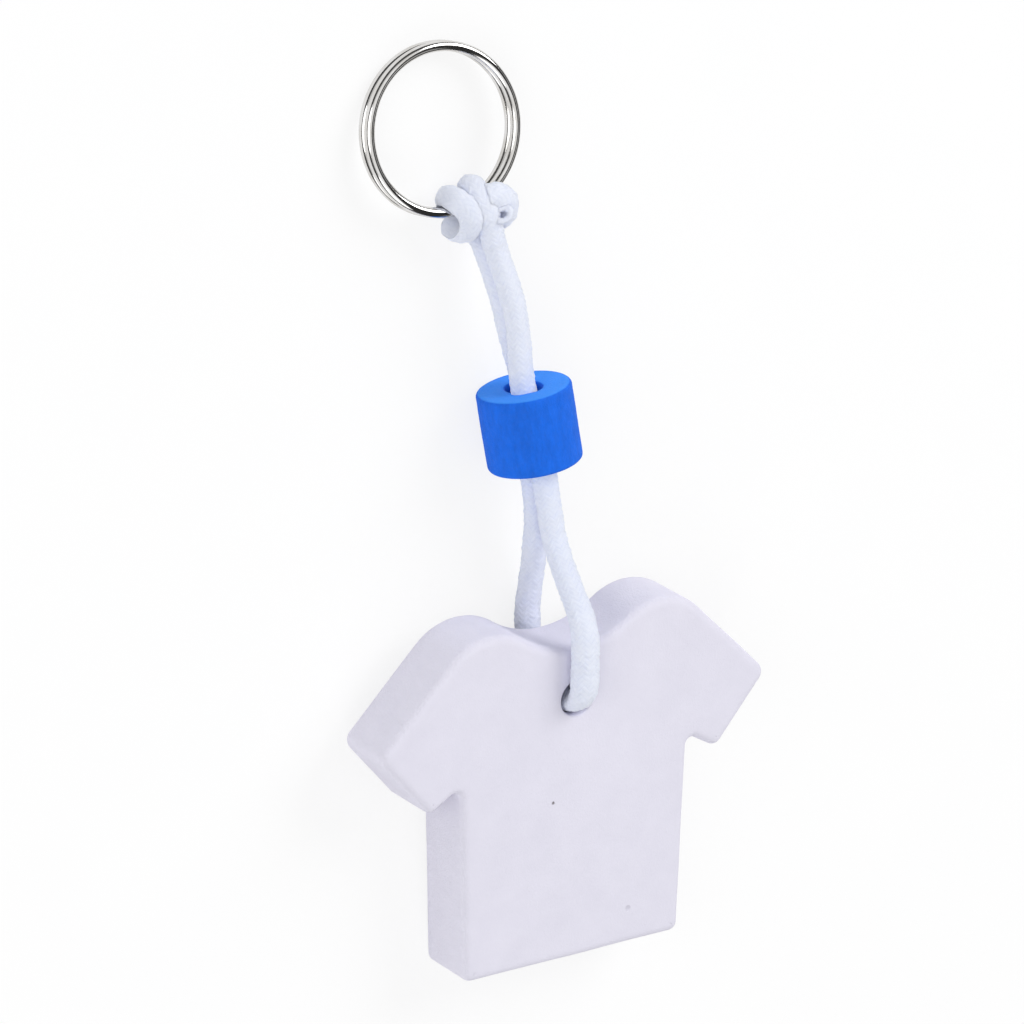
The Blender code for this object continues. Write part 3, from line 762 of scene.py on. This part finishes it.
class Shader:
    """The node tree of a new material, or of the world, with short ways to add nodes and to join them."""

    def __init__(self, owner):
        owner.use_nodes = True
        self.material = owner
        self.tree = owner.node_tree
        self.surface = self.tree.nodes.get("Principled BSDF")

    def add(self, kind, inputs=None, **settings):
        """A new node of a kind, with its inputs and settings."""
        node = self.tree.nodes.new("ShaderNode" + kind)
        for name, value in settings.items():
            setattr(node, name, value)
        self.join(node, inputs or {})
        return node

    def join(self, node, inputs):
        """Each input is another node's output, to be linked, or a plain value."""
        for name, value in inputs.items():
            if isinstance(value, bpy.types.NodeSocket):
                self.tree.links.new(value, node.inputs[name])
            else:
                node.inputs[name].default_value = value

    def math(self, operation, *values, clamp=False):
        return self.add("Math", dict(enumerate(values)), operation=operation, use_clamp=clamp).outputs[0]

    def mix(self, share, first, second):
        """A colour between two others."""
        node = self.add("Mix", data_type="RGBA")
        self.join(node, {0: share, 6: first, 7: second})
        return node.outputs[2]

    def tinted(self, colour, tint):
        """A colour multiplied by another one."""
        product = self.mix(1.0, colour, tint)
        product.node.blend_type = "MULTIPLY"
        return product

    def mix_values(self, share, first, second):
        """A value between two others."""
        node = self.add("Mix", data_type="FLOAT")
        self.join(node, {0: share, 2: first, 3: second})
        return node.outputs[0]

    def ranged(self, value, low, high, to_low, to_high, **settings):
        """A value carried from one range to another and kept within it."""
        inputs = {"Value": value, "From Min": low, "From Max": high, "To Min": to_low, "To Max": to_high}
        return self.add("MapRange", inputs, **settings).outputs[0]

    def dot(self, vector, direction):
        """How far a vector reaches along a direction."""
        return self.add("VectorMath", {0: vector, 1: direction}, operation="DOT_PRODUCT").outputs[1]

    def minus(self, vector, other):
        """The difference of two vectors."""
        return self.add("VectorMath", {0: vector, 1: other}, operation="SUBTRACT").outputs[0]

    def length(self, vector):
        return self.add("VectorMath", {0: vector}, operation="LENGTH").outputs[1]

    def weighted(self, first, first_weight, second, second_weight):
        """The sum of two values, each times its weight."""
        first_part = self.math("MULTIPLY", first, first_weight)
        return self.math("ADD", first_part, self.math("MULTIPLY", second, second_weight))

    def noise(self, place, scale, detail=2.0, roughness=0.5):
        inputs = {"Vector": place, "Scale": scale, "Detail": detail, "Roughness": roughness}
        return self.add("TexNoise", inputs).outputs[0]

    def cells(self, place, scale):
        """How far each place is from the middle of its cell."""
        inputs = {"Vector": place, "Scale": scale, "Randomness": 1.0}
        return self.add("TexVoronoi", inputs).outputs[0]

    def bump(self, height, distance, strength, before=None):
        """The surface's direction where it stands out by a height, on top of a coarser relief before it."""
        inputs = {"Height": height, "Distance": distance, "Strength": strength}
        if before is not None:
            inputs["Normal"] = before
        return self.add("Bump", inputs).outputs[0]


def foam(name, side_colour, end_colour, faces, end_relief, streaks, marks=()):
    """Closed-cell foam: a dull skin, cells that show on its cut sides with painted shade in their pits, and
    slight mottling.

    faces is the direction of the flat ends, which have their own colour and a share of the cells' relief.
    streaks is how strongly the sides are streaked from end to end. marks are small dents with painted shade
    in them, as (place, radius, depth, tint of the painted shade)."""
    shader = Shader(bpy.data.materials.new(name))
    where = shader.add("TexCoord")
    place = where.outputs["Object"]
    facing = shader.dot(where.outputs["Normal"], faces)
    on_end = shader.ranged(shader.math("ABSOLUTE", facing), 0.75, 0.97, 0.0, 1.0)
    cells = shader.cells(place, FOAM_CELLS)
    fine_cells = shader.cells(place, FOAM_FINE_CELLS)
    grain = shader.noise(place, FOAM_GRAIN, 4.0, 0.6)
    mottle = shader.noise(place, FOAM_MOTTLE, 3.0, 0.55)
    broad = shader.noise(place, FOAM_BLOTCHES, 2.0, 0.5)

    colour = shader.mix(on_end, linear(side_colour), linear(end_colour))
    darker = shader.tinted(colour, DARKER_FOAM)
    lighter = shader.tinted(colour, LIGHTER_FOAM)
    blotch = shader.weighted(mottle, 0.6, broad, 0.4)
    colour = shader.mix(shader.ranged(blotch, 0.35, 0.65, 0.0, 1.0), darker, lighter)

    # Streaks are noise drawn out from end to end
    along = shader.dot(place, faces)
    shortening = shader.math("MULTIPLY", along, 0.65)
    lengthways = shader.add("VectorMath", {0: faces, 3: shortening}, operation="SCALE")
    streak = shader.noise(shader.minus(place, lengthways.outputs[0]), FOAM_STREAKS, 5.0, 0.7)
    shade = shader.ranged(streak, 0.3, 0.7, 1.0 - streaks, 1.0 + streaks)
    grey = shader.add("CombineColor", {0: shade, 1: shade, 2: shade}).outputs[0]
    colour = shader.mix(on_end, shader.tinted(colour, grey), colour)

    # Painted shade darkens the pits in the middle of the cells
    pit_shade_mask = shader.ranged(cells, 0.0, 0.16, 1.0, 0.0)
    pit_shaded = shader.tinted(colour, FOAM_PIT_SHADE)
    colour = shader.mix(shader.math("MULTIPLY", pit_shade_mask, 0.7), colour, pit_shaded)

    height = shader.weighted(cells, 0.5, fine_cells, 0.25)
    height = shader.math("ADD", height, shader.math("MULTIPLY", grain, 0.5))
    height = shader.math("MULTIPLY", height, shader.ranged(on_end, 0.0, 1.0, 1.0, end_relief))
    # Each mark sinks the relief and darkens its dent with painted shade
    for centre, radius, depth, tint in marks:
        distance = shader.length(shader.minus(place, centre))
        inside = shader.ranged(distance, radius * 0.35, radius, 1.0, 0.0)
        height = shader.math("SUBTRACT", height, shader.math("MULTIPLY", inside, depth))
        colour = shader.mix(inside, colour, shader.tinted(colour, linear(tint)))
    normal = shader.bump(blotch, 0.0004, 0.35)
    normal = shader.bump(height, 0.00012, 0.7, normal)
    shader.join(shader.surface, {
        "Base Color": colour,
        "Roughness": shader.ranged(grain, 0.3, 0.7, 0.72, 0.92),
        "Normal": normal,
        "Specular IOR Level": 0.32,
    })
    return shader.material


def braid():
    """Soft white polyester braid: fine filaments along each yarn, faint creases between yarns with painted
    shade in them, and a fuzzy sheen."""
    shader = Shader(bpy.data.materials.new("white_braid"))
    coordinates = shader.add("UVMap", uv_map="braid").outputs[0]
    split = shader.add("SeparateXYZ", {0: coordinates})
    a = shader.math("ADD", split.outputs[0], split.outputs[1])
    b = shader.math("SUBTRACT", split.outputs[0], split.outputs[1])
    turn = shader.math("SUBTRACT", shader.math("FLOOR", a), shader.math("FLOOR", b))
    turn = shader.math("FLOORED_MODULO", turn, 4.0)
    on_top = shader.math("LESS_THAN", turn, 2.0)
    across = shader.math("FRACT", shader.mix_values(on_top, b, a))
    crown = shader.math("SINE", shader.math("MULTIPLY", across, math.pi))

    place = shader.add("TexCoord").outputs["Object"]
    wander = shader.noise(place, BRAID_WANDER)
    filament = shader.weighted(across, 5.0, wander, 2.5)
    filament = shader.math("SINE", shader.math("MULTIPLY", filament, 2 * math.pi))
    fuzz = shader.noise(place, BRAID_FUZZ, 4.0, 0.75)
    tone = shader.noise(place, BRAID_TONE, 3.0, 0.6)

    light = linear(CORD_COLOUR)
    painted_crease_shade = linear([channel * share for channel, share in zip(CORD_COLOUR, CREASE_SHADE_SHARES)])
    # Painted shade darkens the creases between the yarns, more or less with the tone
    crease_shade_mask = shader.ranged(crown, 0.0, 0.6, 1.0, 0.0)
    crease_shade_strength = shader.ranged(tone, 0.35, 0.65, 0.3, 1.0)
    colour = shader.mix(shader.math("MULTIPLY", crease_shade_mask, crease_shade_strength), light, painted_crease_shade)
    greyer = shader.tinted(colour, GREYER_BRAID)
    colour = shader.mix(shader.ranged(tone, 0.35, 0.7, 0.0, 1.0), colour, greyer)
    fine = shader.weighted(filament, 0.25, fuzz, 1.6)
    normal = shader.bump(crown, 0.0001, 0.15)
    normal = shader.bump(fine, 0.00004, 0.8, normal)
    shader.join(shader.surface, {
        "Base Color": colour,
        "Roughness": shader.ranged(fuzz, 0.3, 0.7, 0.78, 0.95),
        "Normal": normal,
        "Specular IOR Level": 0.25,
        "Sheen Weight": 0.65,
        "Sheen Tint": BRAID_SHEEN,
        "Sheen Roughness": 0.5,
        "Subsurface Weight": 0.5,
        "Subsurface Radius": (1.0, 1.0, 1.0),
        "Subsurface Scale": 0.0004,
    })
    return shader.material


def nickel():
    """Polished nickel plate with faint wear and fine scratches."""
    shader = Shader(bpy.data.materials.new("polished_nickel"))
    place = shader.add("TexCoord").outputs["Object"]
    broad = shader.noise(place, NICKEL_WEAR, 3.0, 0.55)
    fine = shader.noise(place, NICKEL_SCRATCHES, 3.0, 0.6)
    wear = shader.ranged(broad, 0.4, 0.7, 0.0, 1.0)
    worn = shader.mix(wear, linear(NICKEL_COLOUR), linear(WORN_NICKEL_COLOUR))
    shader.join(shader.surface, {
        "Base Color": worn,
        "Metallic": 1.0,
        "Roughness": shader.ranged(broad, 0.35, 0.7, 0.07, 0.16),
        "Normal": shader.bump(fine, 0.00001, 0.25),
    })
    return shader.material


# Studio

def make_camera():
    """The camera that took the photograph."""
    camera = bpy.data.objects.new("camera", bpy.data.cameras.new("camera"))
    camera.data.lens = CAMERA_LENS
    camera.data.sensor_width = CAMERA_SENSOR
    camera.data.clip_end = CAMERA_REACH
    camera.location = CAMERA_PLACE
    camera.rotation_euler = [math.radians(angle) for angle in CAMERA_TURN_DEGREES]
    bpy.context.scene.collection.objects.link(camera)
    bpy.context.scene.camera = camera


def make_floor():
    """A pale table top. The camera and polished metal see it nearly white, with the object's shadow still
    on it, and wholly white far away."""
    shader = Shader(bpy.data.materials.new("pale_table"))
    place = shader.add("TexCoord").outputs["Object"]
    grain = shader.noise(place, TABLE_GRAIN, 3.0)
    shader.join(shader.surface, {
        "Base Color": shader.mix(shader.ranged(grain, 0.3, 0.7, 0.0, 1.0), *FLOOR_COLOURS),
        "Roughness": 0.9,
        "Specular IOR Level": 0.1,
    })
    rays = shader.add("LightPath")
    seen = shader.math("ADD", rays.outputs["Is Camera Ray"], rays.outputs["Is Glossy Ray"], clamp=True)
    white = shader.add("Emission", {"Color": (1, 1, 1, 1), "Strength": 1.0}).outputs[0]
    share = shader.ranged(shader.length(place), FLOOR_WHITE_FROM, FLOOR_WHITE_TO, FLOOR_WHITE_SHARE, 1.0)
    mixed = shader.add("MixShader", {0: shader.math("MULTIPLY", seen, share)})
    shader.join(mixed, {1: shader.surface.outputs[0], 2: white})
    shader.join(shader.tree.nodes["Material Output"], {"Surface": mixed.outputs[0]})
    reach = FLOOR_HALF_SIZE
    corners = [(-reach, -reach, 0), (reach, -reach, 0), (reach, reach, 0), (-reach, reach, 0)]
    floor = mesh_piece("table_top", corners, [(0, 1, 2, 3)], shader.material)


def make_light(name, place, size, power):
    """A round area lamp, turned to the origin."""
    light = bpy.data.lights.new(name, "AREA")
    light.shape = "DISK"
    light.size = size
    light.energy = power
    lamp = bpy.data.objects.new(name, light)
    lamp.location = place
    lamp.rotation_euler = (-Vector(place)).to_track_quat("-Z", "Y").to_euler()
    bpy.context.scene.collection.objects.link(lamp)


def make_world():
    """A white studio. Polished metal also sees its dark parts: low down all round, and one band across the
    top."""
    world = bpy.data.worlds.new("studio")
    bpy.context.scene.world = world
    shader = Shader(world)
    towards = shader.add("TexCoord").outputs["Generated"]
    height = shader.add("SeparateXYZ", {0: towards}).outputs[2]
    overhead = shader.ranged(
        height, OVERHEAD_FROM, OVERHEAD_TO, LOW_LEVEL, 1.0, interpolation_type="SMOOTHSTEP",
    )
    along = shader.dot(towards, DARK_BAND_DIRECTION)
    off = shader.math("ABSOLUTE", shader.math("SUBTRACT", along, DARK_BAND_COSINE))
    band = shader.ranged(
        off, DARK_BAND_WITHIN, DARK_BAND_FADED, DARK_BAND_LEVEL, 1.0, interpolation_type="SMOOTHSTEP",
    )
    rays = shader.add("LightPath")
    reflected = shader.math("MINIMUM", overhead, band)
    seen = shader.mix_values(rays.outputs["Is Glossy Ray"], WORLD_LEVEL, reflected)
    shown = shader.mix_values(rays.outputs["Is Camera Ray"], seen, 1.0)
    background = shader.tree.nodes["Background"]
    shader.join(background, {"Color": (1, 1, 1, 1), "Strength": shown})


def main():
    """Builds the keychain, the table, the lamps and the camera."""
    bpy.context.scene.view_settings.view_transform = "Standard"
    make_camera()
    loop, knot, route, length = make_cord(braid())

    marks = []
    for x, y, radius, depth, tint in SHADED_DENTS:
        place = FLOAT_MATRIX @ Vector((x, y, FLOAT_THICKNESS))
        marks.append((place, radius, depth, tint))
    white_foam = foam(
        "white_foam", FLOAT_COLOUR, FLOAT_COLOUR, tuple(float_face), FLOAT_END_RELIEF, FLOAT_STREAKS, marks,
    )
    make_float(white_foam)
    bead_axis = tuple(BEAD_MATRIX.col[2].xyz)
    blue_foam = foam(
        "blue_foam", BEAD_SIDE_COLOUR, BEAD_END_COLOUR, bead_axis, BEAD_END_RELIEF, BEAD_STREAKS,
    )
    make_bead(blue_foam)
    make_ring(nickel())

    make_floor()
    make_world()
    for name, (place, size, power) in LAMPS.items():
        make_light(name, place, size, power)


main()
